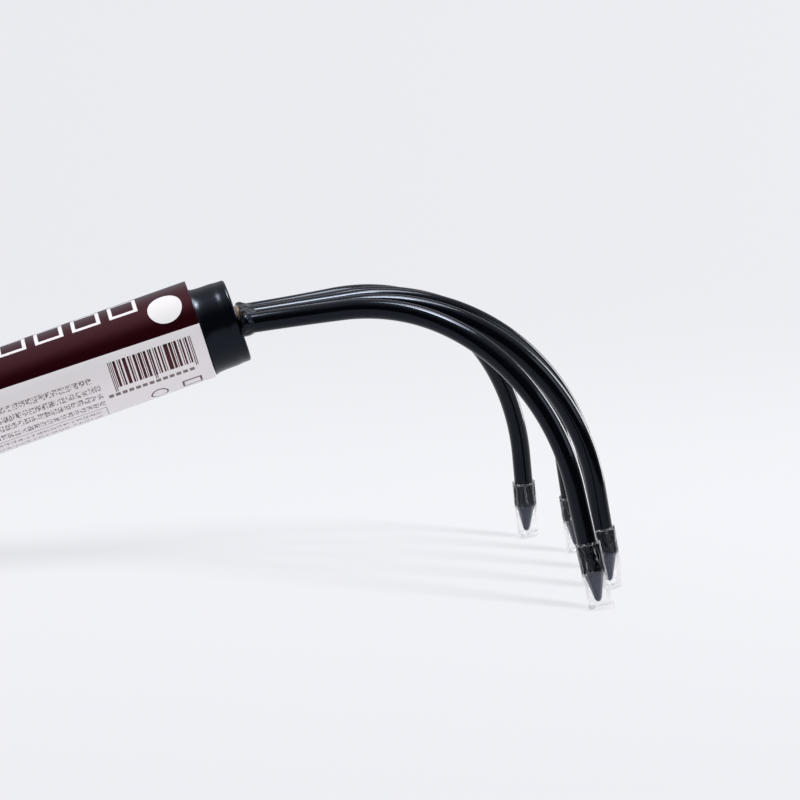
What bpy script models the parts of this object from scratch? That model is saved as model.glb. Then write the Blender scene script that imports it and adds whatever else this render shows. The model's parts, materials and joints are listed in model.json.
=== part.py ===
"""Five-tine hand cultivator.

A turned wooden handle carries a steel ferrule. Five round bars are welded side by side in front of
it: the middle one runs on into the handle as the tang. The bars fan out, arch over and come down to
tapered points, and a clear soft cap is pushed on each point.

Frame: +X runs along the handle towards the points, +Y is the tool's left and +Z is up. The tool
stands as it is put down, on its five caps and the lower edge of the butt. The origin is on the
ground, under the middle of the tool's outline.
"""
import math

import bmesh
import bpy
from mathutils import Matrix, Vector

MM = 0.001

# ---- driving dimensions -------------------------------------------------------------------------
CLEARANCE = 0.3 * MM             # between pieces that touch

# tines: five bent round bars, ranked from -2 on the right to 2 on the left
TINE_DIAMETER = 5.8 * MM
RISE = math.radians(8.2)         # climb of the bars in front of the ferrule
STRAIGHT_RUN = 34.0 * MM         # ferrule to the start of the arch, middle bar
RUN_LOSS = 1.0 * MM              # the arch starts earlier by this times the rank squared
ARCH_RADIUS = 64.0 * MM
FALL = math.radians(80.0)        # slope of the points below the horizontal
POINT_RUN = 28.5 * MM            # straight end of a bar, taper included
INNER_SPLAY = math.radians(14.8)
OUTER_SPLAY = math.radians(31.1)
SPLAY_RUN = 60.0 * MM            # length over which a bar turns outwards
TAPER_LENGTH = 8.5 * MM
TIP_DIAMETER = 1.9 * MM
TIP_LEAN = 0.5 * MM              # how far the tip sits off the bar's axis, towards the handle
TIP_HEIGHT = 2.2 * MM            # of the bare steel tip over the ground
NOSE = 0.93                      # share of the taper at which its end starts to round off

# root: tang, filler and weld
TANG_LENGTH = 50.0 * MM          # of the middle bar inside the handle
KINK_LENGTH = 4.0 * MM           # over which the middle bar turns from the tang's slope to the rise
OUTER_START = 1.2 * MM           # rear end of the two outer bars, ahead of the ferrule
COLLAR_LENGTH = 1.5 * MM         # bead of filler in front of the ferrule
COLLAR_WALL = 1.5 * MM
PLUG_WALL = 1.0 * MM             # filler inside the ferrule's hole
WELD_CROWN = 1.5 * MM            # height of the weld over the bars
WELD_LUMP = 0.25 * MM
LUMP_PITCH = 9.4 * MM            # from one lump of the weld to the next
WELD_OVERHANG = 1.2 * MM         # past the axis of the outer bars

# ferrule
FERRULE_DIAMETER = 25.4 * MM
FERRULE_LENGTH = 11.3 * MM
FERRULE_WALL = 1.2 * MM
FERRULE_ROUND = 1.3 * MM         # front edge
WAIST_DEPTH = 0.25 * MM          # groove pressed in behind the middle of the ferrule
WAIST_FROM_REAR = 2.9 * MM
FLARE = 0.7 * MM                 # rear edge, over the ferrule's own radius

# handle
HANDLE_LENGTH = 207.0 * MM       # ferrule's face to the butt
HANDLE_DIAMETER = 28.4 * MM
HANDLE_RISE = 1.1 * MM           # of the wood's axis over the axis of the ferrule and the tang
BUTT_ROUND = 6.0 * MM

# label sleeve
LABEL_LENGTH = 115.0 * MM
LABEL_THICKNESS = 0.3 * MM

# caps
CAP_LENGTH = 18.2 * MM           # rim to the ground, along the bar
CAP_GRIP = 7.5 * MM              # round part that grips the bar
CAP_WALL = 0.4 * MM
SEAL_HEIGHT = 1.3 * MM           # solid pinched end
SEAL_THICKNESS = 1.2 * MM
CAVITY_CLOSING = 0.985           # share of the way that the cavity closes before the pinched end

# fineness
TURNED_STEPS = 48
BAR_STEP = 5.0 * MM
LINE_STEP = 0.5 * MM
CAP_SIDES = 20

# ---- sizes that follow --------------------------------------------------------------------------
BAR_RADIUS = TINE_DIAMETER / 2
BAR_SPACING = TINE_DIAMETER + CLEARANCE
SLEEVE_RADIUS = BAR_RADIUS + CLEARANCE      # of a hole that a bar passes
SPLAY = {0: 0.0, 1: INNER_SPLAY, 2: OUTER_SPLAY}
SIDES = ("right_outer", "right_inner", "middle", "left_inner", "left_outer")
RANKS = {side: place - len(SIDES) // 2 for place, side in enumerate(SIDES)}
# each cap is pushed on at its own turn: the direction of its pinched end, from +X towards +Y
CAP_TURN = {
    "left_outer": math.radians(45),
    "left_inner": math.radians(35),
    "middle": math.radians(40),
    "right_inner": math.radians(50),
    "right_outer": math.radians(32),
}

# the bars are bent by hand: how much further down each point turns than FALL
EXTRA_FALL = {
    "left_outer": math.radians(3),
    "left_inner": 0.0,
    "middle": 0.0,
    "right_inner": 0.0,
    "right_outer": math.radians(-4),
}

COLLAR_START = CLEARANCE
COLLAR_END = COLLAR_START + COLLAR_LENGTH
COLLAR_RADIUS = SLEEVE_RADIUS + COLLAR_WALL
PLUG_RADIUS = SLEEVE_RADIUS + PLUG_WALL
PLUG_END = FERRULE_WALL + CLEARANCE / 2     # behind the face
HOLE_RADIUS = PLUG_RADIUS + CLEARANCE
INNER_START = COLLAR_END + CLEARANCE

FERRULE_RADIUS = FERRULE_DIAMETER / 2
FERRULE_BORE = FERRULE_RADIUS - FERRULE_WALL
SPIGOT_RADIUS = FERRULE_BORE - CLEARANCE - abs(HANDLE_RISE)
SPIGOT_START = PLUG_END + CLEARANCE
SHOULDER = FERRULE_LENGTH + CLEARANCE       # label and full wood start here, behind the face
HANDLE_RADIUS = HANDLE_DIAMETER / 2
LABEL_BORE = HANDLE_RADIUS + CLEARANCE

# height of the ferrule's centre: what the middle bar drops, less what it climbs
MIDDLE_FALL = FALL + EXTRA_FALL["middle"]
ROOT_HEIGHT = (
    TIP_HEIGHT
    + POINT_RUN * math.sin(MIDDLE_FALL)
    + ARCH_RADIUS * (math.cos(RISE) - math.cos(MIDDLE_FALL))
    - STRAIGHT_RUN * math.sin(RISE)
)

# the butt's rounded lower edge rests on the ground, which gives the handle its pitch
BUTT_ARC_BEHIND = HANDLE_LENGTH - BUTT_ROUND
BUTT_ARC_RADIUS = HANDLE_RADIUS - BUTT_ROUND
BUTT_ARC_BELOW = BUTT_ARC_RADIUS - HANDLE_RISE
PITCH = math.asin((ROOT_HEIGHT - BUTT_ROUND) / math.hypot(BUTT_ARC_BEHIND, BUTT_ARC_BELOW)) - math.atan2(
    BUTT_ARC_BELOW, BUTT_ARC_BEHIND
)
HANDLE_AXIS = Vector((math.cos(PITCH), 0, math.sin(PITCH)))
ROOT = Vector((0, 0, ROOT_HEIGHT))
HANDLE_FRONT = ROOT + Vector((-math.sin(PITCH), 0, math.cos(PITCH))) * HANDLE_RISE


# ---- scene and object helpers -------------------------------------------------------------------
def clear_scene():
    for obj in list(bpy.data.objects):
        bpy.data.objects.remove(obj, do_unlink=True)


def new_collection(name):
    collection = bpy.data.collections.new(name)
    bpy.context.scene.collection.children.link(collection)
    return collection


def material(name, colour, roughness, metallic=0.0, alpha=1.0):
    made = bpy.data.materials.new(name)
    made.use_nodes = True
    shader = made.node_tree.nodes["Principled BSDF"]
    shader.inputs["Base Color"].default_value = (*colour, 1.0)
    shader.inputs["Roughness"].default_value = roughness
    shader.inputs["Metallic"].default_value = metallic
    shader.inputs["Alpha"].default_value = alpha
    made.diffuse_color = (*colour, alpha)
    return made


def add_object(name, data, finish, collection):
    obj = bpy.data.objects.new(name, data)
    collection.objects.link(obj)
    obj.parent = datum
    if finish:
        data.materials.append(finish)
    return obj


def turned(name, profile, finish, centre):
    """Turn a profile of (radius, distance behind the centre) round a line along the handle."""
    mesh = bpy.data.meshes.new(name)
    corners = [(radius, 0.0, -behind) for radius, behind in profile]
    edges = [(i, i + 1) for i in range(len(corners) - 1)]
    if profile[0][0] > 0:
        edges.append((len(corners) - 1, 0))
    mesh.from_pydata(corners, edges, [])
    obj = add_object(name, mesh, finish, parts)
    screw = obj.modifiers.new("Turn", "SCREW")
    screw.axis = "Z"
    screw.steps = TURNED_STEPS
    screw.render_steps = TURNED_STEPS
    screw.use_merge_vertices = True
    screw.merge_threshold = 0.00001
    screw.use_smooth_shade = True
    obj.location = centre
    obj.rotation_euler = (0, math.pi / 2 - PITCH, 0)
    return obj


def tube(name, points, radii, finish, collection, resolution=4):
    """Round bar through the points, with its own radius at each."""
    curve = bpy.data.curves.new(name, "CURVE")
    curve.dimensions = "3D"
    curve.bevel_depth = radii[0]
    curve.bevel_resolution = resolution
    curve.use_fill_caps = True
    spline = curve.splines.new("POLY")
    spline.points.add(len(points) - 1)
    for knot, point, radius in zip(spline.points, points, radii):
        knot.co = (*point, 1.0)
        knot.radius = radius / radii[0]
    return add_object(name, curve, finish, collection)


def as_mesh(obj, collection):
    """Replace a curve object by a mesh object with its caps welded on."""
    bpy.context.view_layer.update()
    shape = obj.evaluated_get(bpy.context.evaluated_depsgraph_get())
    mesh = bpy.data.meshes.new_from_object(shape)
    shell = bmesh.new()
    shell.from_mesh(mesh)
    bmesh.ops.remove_doubles(shell, verts=shell.verts, dist=0.00001)
    bmesh.ops.recalc_face_normals(shell, faces=shell.faces)
    shell.to_mesh(mesh)
    shell.free()
    name, placed = obj.name, obj.matrix_world.copy()
    bpy.data.objects.remove(obj, do_unlink=True)
    solid = add_object(name, mesh, None, collection)
    solid.matrix_world = placed
    return solid


def cut(obj, cutter):
    cutter.hide_render = True
    cutter.display_type = "WIRE"
    boolean = obj.modifiers.new(cutter.name, "BOOLEAN")
    boolean.operation = "DIFFERENCE"
    boolean.solver = "EXACT"
    boolean.object = cutter


# ---- lines of the bars --------------------------------------------------------------------------
def arch_start(rank):
    return STRAIGHT_RUN - RUN_LOSS * rank * rank


def fall(rank):
    """Slope of a bar's point below the horizontal."""
    return FALL + EXTRA_FALL[SIDES[rank + len(SIDES) // 2]]


def elevation(rank, distance):
    """Slope of a bar at a distance from the ferrule's face: rise, then a steady arch, then the fall."""
    if rank == 0 and distance < KINK_LENGTH:
        return PITCH + (RISE - PITCH) * distance / KINK_LENGTH
    bent = max(0.0, distance - arch_start(rank)) / ARCH_RADIUS
    return max(RISE - bent, -fall(rank))


def bar_start(rank):
    """Rear end of a bar, ahead of the ferrule's face. The middle one runs on behind it as the tang."""
    return {0: 0.0, 1: INNER_START, 2: OUTER_START}[abs(rank)]


def azimuth(rank, distance):
    """Turn of a bar outwards: it grows evenly over the splay run."""
    side = (rank > 0) - (rank < 0)
    return side * SPLAY[abs(rank)] * min(distance / SPLAY_RUN, 1.0)


def heading(rank, distance):
    up, out = elevation(rank, distance), azimuth(rank, distance)
    return Vector((math.cos(up) * math.cos(out), math.cos(up) * math.sin(out), math.sin(up)))


def bar_line(rank):
    """Points every LINE_STEP along a bar's axis, from the ferrule's face to the steel tip."""
    point = ROOT + Vector((0, rank * BAR_SPACING, 0))
    points = [point]
    distance = 0.0
    arch_end = arch_start(rank) + ARCH_RADIUS * (RISE + fall(rank))
    while point.z > TIP_HEIGHT or distance < arch_end:
        step = heading(rank, distance + LINE_STEP / 2) * LINE_STEP
        if distance >= arch_end and point.z + step.z < TIP_HEIGHT:
            step *= (point.z - TIP_HEIGHT) / -step.z
            points.append(point + step)
            break
        point = point + step
        points.append(point)
        distance += LINE_STEP
    return points


def line_length(points):
    return (len(points) - 2) * LINE_STEP + (points[-1] - points[-2]).length


def along(points, distance):
    """Point at a distance along a line made by bar_line."""
    index = min(int(distance / LINE_STEP), len(points) - 2)
    ahead = (points[index + 1] - points[index]).normalized()
    return points[index] + ahead * (distance - index * LINE_STEP)


def point_direction(points):
    return (points[-1] - points[-2]).normalized()


# ---- pieces -------------------------------------------------------------------------------------
def make_handle():
    """Turned wood with a spigot in front, bored for the tang on the ferrule's axis."""
    profile = [(0.0, SPIGOT_START), (SPIGOT_RADIUS, SPIGOT_START), (SPIGOT_RADIUS, SHOULDER)]
    profile.append((HANDLE_RADIUS, SHOULDER))
    turns = 6
    for i in range(turns + 1):
        angle = math.pi / 2 * i / turns
        radius = BUTT_ARC_RADIUS + BUTT_ROUND * math.cos(angle)
        profile.append((radius, BUTT_ARC_BEHIND + BUTT_ROUND * math.sin(angle)))
    profile.append((0.0, HANDLE_LENGTH))
    handle = turned("handle", profile, wood, HANDLE_FRONT)
    ends = [ROOT, ROOT - HANDLE_AXIS * (TANG_LENGTH + CLEARANCE)]
    bore = tube("tang_bore", ends, [SLEEVE_RADIUS] * 2, None, cutters, resolution=8)
    cut(handle, as_mesh(bore, cutters))
    return handle


def make_ferrule():
    turns = 5
    profile = [(HOLE_RADIUS, 0.0)]
    for i in range(turns + 1):
        angle = math.pi / 2 * (1 - i / turns)
        radius = FERRULE_RADIUS - FERRULE_ROUND * (1 - math.cos(angle))
        profile.append((radius, FERRULE_ROUND * (1 - math.sin(angle))))
    waist = FERRULE_LENGTH - WAIST_FROM_REAR
    profile.append((FERRULE_RADIUS, waist - WAIST_FROM_REAR * 0.7))
    profile.append((FERRULE_RADIUS - WAIST_DEPTH, waist))
    profile.append((FERRULE_RADIUS + FLARE, FERRULE_LENGTH - WAIST_FROM_REAR * 0.2))
    profile.append((FERRULE_RADIUS + FLARE, FERRULE_LENGTH))
    profile += [(FERRULE_BORE, FERRULE_LENGTH), (FERRULE_BORE, FERRULE_WALL), (HOLE_RADIUS, FERRULE_WALL)]
    return turned("ferrule", profile, enamel, ROOT)


def make_tang_filler():
    """Bead in front of the ferrule with a half-round edge, on a plug that fills the hole."""
    turns = 6
    half = COLLAR_LENGTH / 2
    profile = [(SLEEVE_RADIUS, -COLLAR_END)]
    for i in range(turns + 1):
        angle = math.pi / 2 - math.pi * i / turns
        radius = COLLAR_RADIUS - half * (1 - math.cos(angle))
        profile.append((radius, -COLLAR_START - half - half * math.sin(angle)))
    profile += [(PLUG_RADIUS, -COLLAR_START), (PLUG_RADIUS, PLUG_END), (SLEEVE_RADIUS, PLUG_END)]
    return turned("tang_filler", profile, filler, ROOT)


def make_label():
    """Thin sleeve round the wood."""
    end = SHOULDER + LABEL_LENGTH
    outer = LABEL_BORE + LABEL_THICKNESS
    profile = [(LABEL_BORE, SHOULDER), (outer, SHOULDER), (outer, end), (LABEL_BORE, end)]
    return turned("label_sleeve", profile, paper, HANDLE_FRONT)


def make_tine(side, rank):
    line = bar_line(rank)
    length = line_length(line)
    start = bar_start(rank)
    taper_start = length - TAPER_LENGTH
    count = round((taper_start - start) / BAR_STEP)
    distances = [start + (taper_start - start) * i / count for i in range(count + 1)]
    points = [along(line, distance) for distance in distances]
    radii = [BAR_RADIUS] * len(points)
    if rank == 0:
        tang = [ROOT - HANDLE_AXIS * TANG_LENGTH, ROOT, along(line, KINK_LENGTH / 2)]
        points = tang + points[1:]
        radii = [BAR_RADIUS] * len(points)
    down = point_direction(line)
    inwards = Vector((-math.cos(azimuth(rank, length)), -math.sin(azimuth(rank, length)), 0))
    inwards = (inwards - down * inwards.dot(down)).normalized()
    tip_radius = TIP_DIAMETER / 2
    for part in (0.25, 0.5, 0.75, NOSE, 1.0):
        points.append(along(line, taper_start + TAPER_LENGTH * part) + inwards * TIP_LEAN * part)
        shrink = min(part / NOSE, 1.0)
        radii.append(BAR_RADIUS + (tip_radius - BAR_RADIUS) * shrink)
    radii[-1] = tip_radius / 2
    return tube("tine_" + side, points, radii, enamel, parts)


def make_weld():
    """Lumpy bead laid across the bars, cut clear of them and of the filler."""
    radius = (BAR_RADIUS + WELD_CROWN) / 2
    centre_x = CLEARANCE + radius + WELD_LUMP
    row_height = ROOT_HEIGHT + centre_x * math.sin(RISE)
    reach = 2 * BAR_SPACING + WELD_OVERHANG
    count = 18
    points, radii = [], []
    for i in range(count + 1):
        across = reach * (2 * i / count - 1)
        turn = 2 * math.pi * across / LUMP_PITCH
        lump = 0.7 * math.sin(turn + 1.0) + 0.3 * math.sin(2.3 * turn)
        radii.append(radius + WELD_LUMP * lump)
        points.append(Vector((centre_x, across, row_height + radii[-1])))
    bead = tube("root_weld", points, radii, None, parts)
    bead = as_mesh(bead, parts)
    bead.data.materials.append(enamel)
    for side, rank in RANKS.items():
        line = bar_line(rank)
        start = max(bar_start(rank) - CLEARANCE, 0.0)
        end = centre_x + 2 * radius
        count = 6
        path = [along(line, start + (end - start) * i / count) for i in range(count + 1)]
        sheath = tube("sheath_" + side, path, [SLEEVE_RADIUS] * len(path), None, cutters)
        cut(bead, as_mesh(sheath, cutters))
    ring = [ROOT - HANDLE_AXIS * PLUG_RADIUS, ROOT + HANDLE_AXIS * (COLLAR_END + CLEARANCE)]
    room = tube("filler_room", ring, [COLLAR_RADIUS + CLEARANCE] * 2, None, cutters, resolution=8)
    cut(bead, as_mesh(room, cutters))
    return bead


def oval(centre, wide, thick, half_width, half_thickness):
    """Ring of points on an ellipse."""
    ring = []
    for i in range(CAP_SIDES):
        angle = 2 * math.pi * i / CAP_SIDES
        ring.append(centre + wide * half_width * math.cos(angle) + thick * half_thickness * math.sin(angle))
    return ring


def make_cap(side, rank):
    """Soft tube pushed on a point: round where it grips, and pinched flat where it meets the ground."""
    line = bar_line(rank)
    down = point_direction(line)
    foot = line[-1] + down * (TIP_HEIGHT / -down.z)
    rim = foot - down * CAP_LENGTH
    flat = Vector((math.cos(CAP_TURN[side]), math.sin(CAP_TURN[side]), 0))
    wide_top = (flat - down * flat.dot(down)).normalized()
    thick_top = down.cross(wide_top)
    thick_foot = Vector((0, 0, -1)).cross(flat)
    hollow_end = CAP_LENGTH - SEAL_HEIGHT

    def section(depth, outside):
        part = max(0.0, (depth - CAP_GRIP) / (hollow_end - CAP_GRIP))
        closing = min(part, 1.0) * CAVITY_CLOSING
        half_thickness = SLEEVE_RADIUS * (1 - closing ** 3) ** (1 / 3)
        half_width = SLEEVE_RADIUS + (SLEEVE_RADIUS - half_thickness) * (math.pi / 2 - 1)
        if outside:
            half_thickness += CAP_WALL
            half_width += CAP_WALL
        if depth >= CAP_LENGTH:
            half_thickness = SEAL_THICKNESS / 2
            half_width = SLEEVE_RADIUS * math.pi / 2 + CAP_WALL
        blend = max(0.0, (depth - CAP_GRIP) / (CAP_LENGTH - CAP_GRIP))
        blend = blend * blend * (3 - 2 * blend)
        wide = wide_top.lerp(flat, blend)
        thick = thick_top.lerp(thick_foot, blend)
        return oval(down * depth, wide, thick, half_width, half_thickness)

    depths = [0.0, CAP_GRIP]
    depths += [CAP_GRIP + (hollow_end - CAP_GRIP) * part for part in (0.25, 0.45, 0.62, 0.77, 0.9, 1.0)]
    rings = [section(depth, True) for depth in depths + [CAP_LENGTH]]
    rings = rings[::-1] + [section(depth, False) for depth in depths]
    corners = [corner for ring in rings for corner in ring]
    faces = []
    for row in range(len(rings) - 1):
        for i in range(CAP_SIDES):
            ahead = (i + 1) % CAP_SIDES
            low, high = row * CAP_SIDES, (row + 1) * CAP_SIDES
            faces.append((low + i, low + ahead, high + ahead, high + i))
    last = (len(rings) - 1) * CAP_SIDES
    faces.append(tuple(range(CAP_SIDES))[::-1])
    faces.append(tuple(last + i for i in range(CAP_SIDES)))
    mesh = bpy.data.meshes.new("tip_cap_" + side)
    mesh.from_pydata(corners, [], faces)
    shell = bmesh.new()
    shell.from_mesh(mesh)
    bmesh.ops.recalc_face_normals(shell, faces=shell.faces)
    shell.to_mesh(mesh)
    shell.free()
    obj = add_object("tip_cap_" + side, mesh, soft_plastic, parts)
    obj.location = rim
    return obj


def smooth(obj):
    if obj.type == "MESH":
        obj.data.shade_smooth()
        obj.data.set_sharp_from_angle(angle=math.radians(35))


def centre_on_origin():
    """Move the whole tool along X until its outline is centred over the origin."""
    bpy.context.view_layer.update()
    graph = bpy.context.evaluated_depsgraph_get()
    reach = []
    for obj in parts.objects:
        shape = obj.evaluated_get(graph)
        mesh = shape.to_mesh()
        places = [(obj.matrix_world @ vertex.co).x for vertex in mesh.vertices]
        reach += [min(places), max(places)]
        shape.to_mesh_clear()
    datum.location.x = -(min(reach) + max(reach)) / 2


clear_scene()
parts = new_collection("hand_cultivator")
cutters = new_collection("cutters")
datum = bpy.data.objects.new("ferrule_datum", None)
bpy.context.scene.collection.objects.link(datum)

wood = material("handle_wood", (0.72, 0.5, 0.29), 0.5)
paper = material("label_paper", (0.86, 0.85, 0.84), 0.35)
enamel = material("black_enamel", (0.012, 0.013, 0.016), 0.18)
filler = material("tan_filler", (0.55, 0.42, 0.29), 0.6)
soft_plastic = material("clear_soft_plastic", (0.92, 0.94, 0.95), 0.15, alpha=0.3)

make_handle()
make_label()
make_ferrule()
make_tang_filler()
make_weld()
for tine_side, tine_rank in RANKS.items():
    make_tine(tine_side, tine_rank)
    make_cap(tine_side, tine_rank)
for piece in parts.objects:
    smooth(piece)
centre_on_origin()
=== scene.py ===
# %% [markdown]
# # A five-tine hand cultivator
# A hand cultivator is a small garden tool: a turned wooden handle, a steel ferrule, and five round
# bars that fan out, arch over and come down to points. Each point wears a clear soft cap. This
# lesson dresses a fixed CAD model of the tool. Bodies and joints stay as they are, and every solid
# of the model is replaced by a finer surface with a procedural finish.

# %% Load the CAD model
import json
import math

import bmesh
import bpy
import numpy as np
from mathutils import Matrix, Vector

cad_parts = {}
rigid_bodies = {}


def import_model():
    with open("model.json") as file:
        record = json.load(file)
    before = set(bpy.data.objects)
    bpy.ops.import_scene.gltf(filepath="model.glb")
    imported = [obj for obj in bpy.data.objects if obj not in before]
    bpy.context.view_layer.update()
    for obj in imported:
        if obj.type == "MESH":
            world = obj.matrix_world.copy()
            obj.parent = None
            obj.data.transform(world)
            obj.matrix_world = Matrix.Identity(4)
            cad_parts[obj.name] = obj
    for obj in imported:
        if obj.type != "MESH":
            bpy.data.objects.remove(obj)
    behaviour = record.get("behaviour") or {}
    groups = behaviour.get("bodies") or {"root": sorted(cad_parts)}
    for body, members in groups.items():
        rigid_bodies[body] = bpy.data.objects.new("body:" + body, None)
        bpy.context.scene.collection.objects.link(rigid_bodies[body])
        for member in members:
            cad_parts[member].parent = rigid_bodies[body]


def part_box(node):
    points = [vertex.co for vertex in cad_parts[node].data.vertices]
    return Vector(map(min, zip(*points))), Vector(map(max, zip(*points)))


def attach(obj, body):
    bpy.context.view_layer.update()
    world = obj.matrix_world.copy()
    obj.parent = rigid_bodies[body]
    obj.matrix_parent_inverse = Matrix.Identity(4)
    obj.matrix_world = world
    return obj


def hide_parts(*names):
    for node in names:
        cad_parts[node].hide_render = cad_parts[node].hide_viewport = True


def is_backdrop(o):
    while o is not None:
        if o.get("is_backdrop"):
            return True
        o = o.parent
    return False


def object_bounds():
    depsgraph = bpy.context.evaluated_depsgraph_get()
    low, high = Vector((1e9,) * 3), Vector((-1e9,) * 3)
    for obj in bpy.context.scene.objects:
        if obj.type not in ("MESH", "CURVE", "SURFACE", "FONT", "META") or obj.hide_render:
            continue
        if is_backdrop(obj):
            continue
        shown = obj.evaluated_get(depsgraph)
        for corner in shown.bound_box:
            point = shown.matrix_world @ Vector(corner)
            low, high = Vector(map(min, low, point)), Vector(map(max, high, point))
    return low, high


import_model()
cad_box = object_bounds()
MM = 0.001

# %% [markdown]
# ## Camera
# The tool is seen from its right side, a little from above and from far away, with a long lens, so
# lines stay almost parallel. A long lens could be had by cropping a wide one, but then the
# perspective would be wrong: distance sets perspective, and the lens only sets the size.

# %% Camera
CAMERA_AZIMUTH = math.radians(7.14)
CAMERA_ELEVATION = math.radians(8.62)
CAMERA_PLACE = Vector((-15.8, -845.8, 182.1)) * MM
LENS = 130.4                     # mm, on a sensor 36 mm wide


def look_along(azimuth, elevation):
    """Direction of sight: +Y turned towards +X by the azimuth, then dipped by the elevation."""
    level = math.cos(elevation)
    return Vector((math.sin(azimuth) * level, math.cos(azimuth) * level, -math.sin(elevation)))


sight = look_along(CAMERA_AZIMUTH, CAMERA_ELEVATION)
camera = bpy.data.objects.new("camera", bpy.data.cameras.new("camera"))
bpy.context.scene.collection.objects.link(camera)
camera.location = CAMERA_PLACE
camera.rotation_euler = sight.to_track_quat("-Z", "Y").to_euler()
camera.data.lens = LENS
camera.data.sensor_width = 36
camera.data.clip_start = 0.05
camera.data.clip_end = 200
bpy.context.scene.camera = camera
print("camera looks along", [round(c, 4) for c in sight])

# %% [markdown]
# ## Shader maths as Python
# A procedural finish is mostly arithmetic on where a point lies. Wiring Math nodes by hand hides
# the formula, so a small class wraps a socket and turns +, -, *, / and comparisons into nodes.

# %% Sockets that can be added and multiplied
class Number:
    """A shader socket that holds one number. Arithmetic on it adds Math nodes."""

    def __init__(self, wiring, socket):
        self.wiring = wiring
        self.socket = socket

    def output(self, key):
        """Another output of the same node, by its name or its place."""
        return Number(self.wiring, self.socket.node.outputs[key])

    def math(self, operation, *others, clamp=False):
        settings = {"operation": operation, "use_clamp": clamp}
        return self.wiring.add("ShaderNodeMath", settings, self, *others)

    def __add__(self, other):
        return self.math("ADD", other)

    __radd__ = __add__

    def __mul__(self, other):
        return self.math("MULTIPLY", other)

    __rmul__ = __mul__

    def __sub__(self, other):
        return self.math("SUBTRACT", other)

    def __rsub__(self, other):
        return self.wiring.add("ShaderNodeMath", {"operation": "SUBTRACT"}, other, self)

    def __truediv__(self, other):
        return self.math("DIVIDE", other)

    def __gt__(self, other):
        return self.math("GREATER_THAN", other)

    def __lt__(self, other):
        return self.math("LESS_THAN", other)


def greatest(*masks):
    """The greatest of several masks at each point."""
    whole = masks[0]
    for mask in masks[1:]:
        whole = whole.math("MAXIMUM", mask)
    return whole


print("a Number knows", [name for name in vars(Number) if name.startswith("__r")], "for 1 - mask")

# %% [markdown]
# ## Node trees and finishes
# A material and the world are both trees of nodes. One method adds any node from its type, its
# settings and the values or links of its sockets. A finish is such a tree on the Principled shader,
# and has the few patterns that this tool needs: noise, a colour between two, and a bump.

# %% Node trees
class Wiring:
    """The node tree of a material or of the world, under construction."""

    def __init__(self, owner):
        self.owner = owner
        owner.use_nodes = True
        self.tree = owner.node_tree

    def add(self, kind, settings=None, *values, out=0, **named):
        """Add a node: its settings first, then its inputs by place or by name. Returns an output."""
        node = self.tree.nodes.new(kind)
        for key, value in (settings or {}).items():
            if key == "stops":
                self.set_stops(node.color_ramp, value)
            else:
                setattr(node, key, value)
        for place, value in enumerate(values):
            self.feed(node.inputs[place], value)
        for key, value in named.items():
            self.feed(node.inputs[key.replace("_", " ")], value)
        return Number(self, node.outputs[out])

    def feed(self, socket, value):
        """Give a socket a link, where the value is a Number, or else a plain value."""
        if isinstance(value, Number):
            self.tree.links.new(value.socket, socket)
        else:
            socket.default_value = value

    def set_stops(self, ramp, stops):
        """Give a colour ramp its stops of (place, colour)."""
        while len(ramp.elements) > 1:
            ramp.elements.remove(ramp.elements[-1])
        for index, (place, colour) in enumerate(stops):
            element = ramp.elements[0] if index == 0 else ramp.elements.new(place)
            element.position = place
            element.color = (*colour, 1.0)

    def mix(self, factor, low, high):
        """A colour between two, by the factor."""
        blend = self.add("ShaderNodeMix", {"data_type": "RGBA"}, factor, out=2)
        for place, colour in ((6, low), (7, high)):
            socket = blend.socket.node.inputs[place]
            self.feed(socket, colour if isinstance(colour, Number) else (*colour, 1.0))
        return blend


print("a node tree can", [name for name in vars(Wiring) if not name.startswith("__")])

# %% Finishes
class Finish(Wiring):
    """A material on the Principled shader."""

    def __init__(self, name):
        super().__init__(bpy.data.materials.new(name))
        self.shader = self.tree.nodes["Principled BSDF"]

    def set(self, **named):
        """Set the Principled shader's own sockets: Base_Color, Roughness and so on."""
        for key, value in named.items():
            self.feed(self.shader.inputs[key.replace("_", " ")], value)
        return self

    def place(self):
        """Object coordinates, in metres."""
        return self.add("ShaderNodeTexCoord", out=3)

    def split(self, vector):
        """The first two parts of a vector."""
        parts = self.add("ShaderNodeSeparateXYZ", None, vector)
        return parts, parts.output("Y")

    def uv(self):
        """The piece's own map as two numbers."""
        return self.split(self.add("ShaderNodeUVMap", {"uv_map": "map"}))

    def noise(self, scale, detail=3.0, roughness=0.5, where=None):
        """Fractal noise of about one feature per 1/scale metres, from 0 to 1."""
        sizes = {"Scale": scale, "Detail": detail, "Roughness": roughness}
        return self.add("ShaderNodeTexNoise", None, where or self.place(), **sizes)

    def beyond(self, value, limit, soft):
        """1 where the value is over the limit, with an edge soft wide."""
        return ((value - limit) / soft).math("ADD", 0.5, clamp=True)

    def between(self, value, low, high, soft):
        """1 where the value lies between low and high, with edges soft wide."""
        return self.beyond(value, low, soft) * self.beyond(high, value, soft)

    def relief(self, height, distance):
        """Feed the normal with a bump made from a height of 0 to 1, scaled to a distance."""
        return self.set(Normal=self.add("ShaderNodeBump", None, Distance=distance, Height=height))


print("a finish can also", [name for name in vars(Finish) if not name.startswith("__")])

# %% [markdown]
# ## World
# Gloss black shows nothing of its own: what the eye sees on it is the room. The world could be an
# even white, but then black enamel would look like grey plastic. So its brightness follows the
# direction: dark on the side of the viewer, pale overhead and on the far side. The camera itself
# sees plain pale ground far off in its place.

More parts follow.
